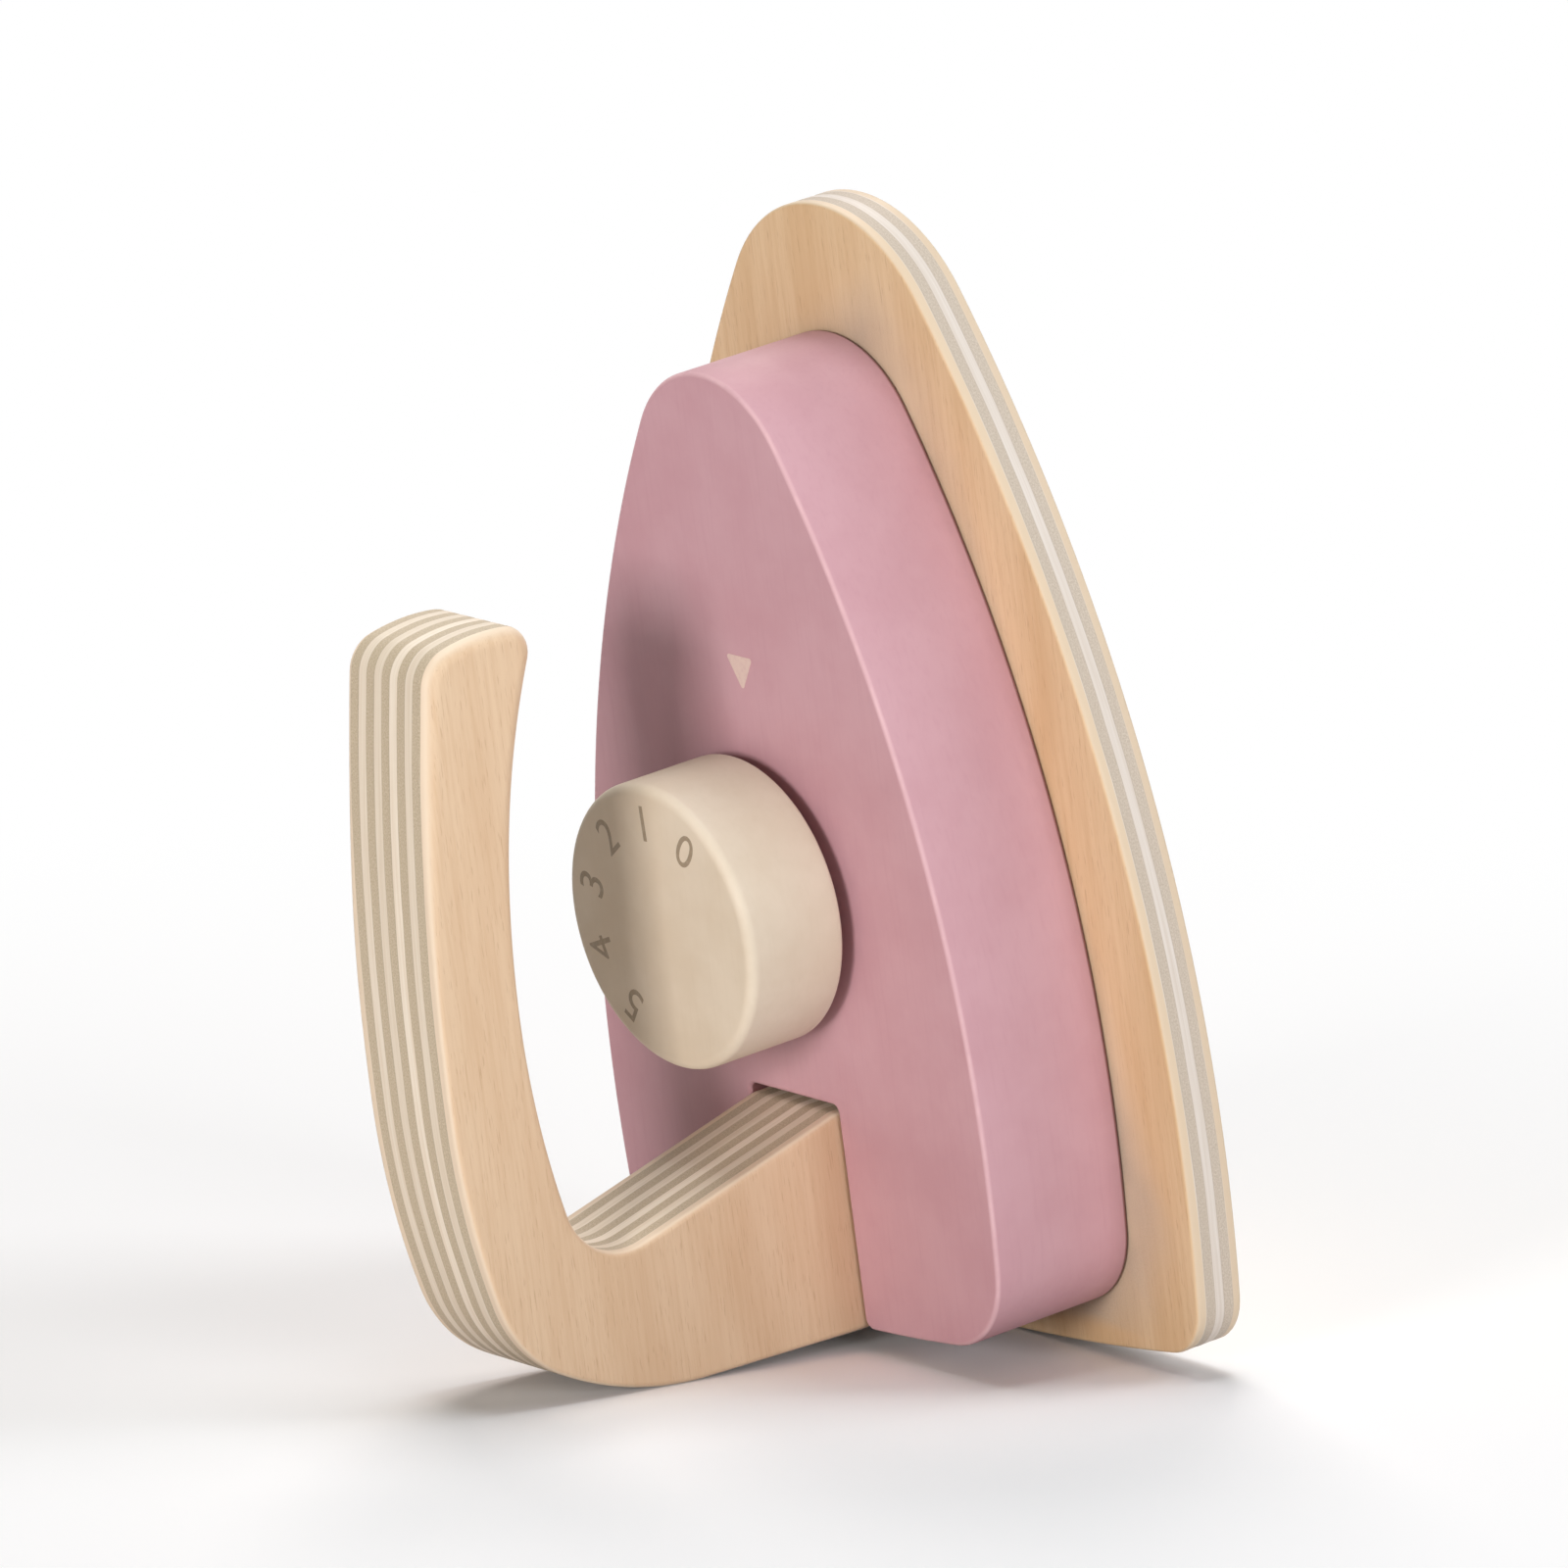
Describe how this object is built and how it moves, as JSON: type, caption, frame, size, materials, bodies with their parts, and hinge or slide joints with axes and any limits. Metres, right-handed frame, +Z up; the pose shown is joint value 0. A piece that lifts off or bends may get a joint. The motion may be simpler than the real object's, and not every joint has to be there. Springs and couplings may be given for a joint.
{
  "type": "toy iron",
  "caption": "Wooden toy iron standing on its heel: plywood sole and open J-shaped handle, painted block, and a dial knob that turns.",
  "frame": {"origin": "on the surface that the iron stands on, under the middle of its box", "axes": "+Z up towards the tip, +X from the handle towards the sole's working face, Y across the width; the iron leans back 8.4 degrees towards the handle"},
  "size_m": [0.095, 0.1014, 0.145],
  "materials": {
    "sole_plywood": "birch plywood, clear satin lacquer",
    "pink_paint": "wood block, satin dusty-pink paint",
    "handle_plywood": "birch plywood, clear satin lacquer",
    "cream_paint": "turned wood, satin cream paint, printed numbers",
    "felt": "pressed felt",
    "beech": "bare beech",
    "zinc_steel": "bright zinc plate"
  },
  "bodies": {
    "iron": {"sole_plate": "sole_plywood", "body_block": "pink_paint", "handle": "handle_plywood", "handle_dowels": "beech", "sole_dowels": "beech"},
    "dial": {"knob": "cream_paint", "felt_washer": "felt", "knob_axle": "beech", "retaining_washer": "zinc_steel", "retaining_screw": "zinc_steel"}
  },
  "joints": [
    {"name": "knob_turn", "type": "hinge", "parent": "iron", "child": "dial", "pos_m": [0.01076, 0, 0.05829], "axis": [-0.9894, 0, -0.1453], "continuous": true}
  ]
}
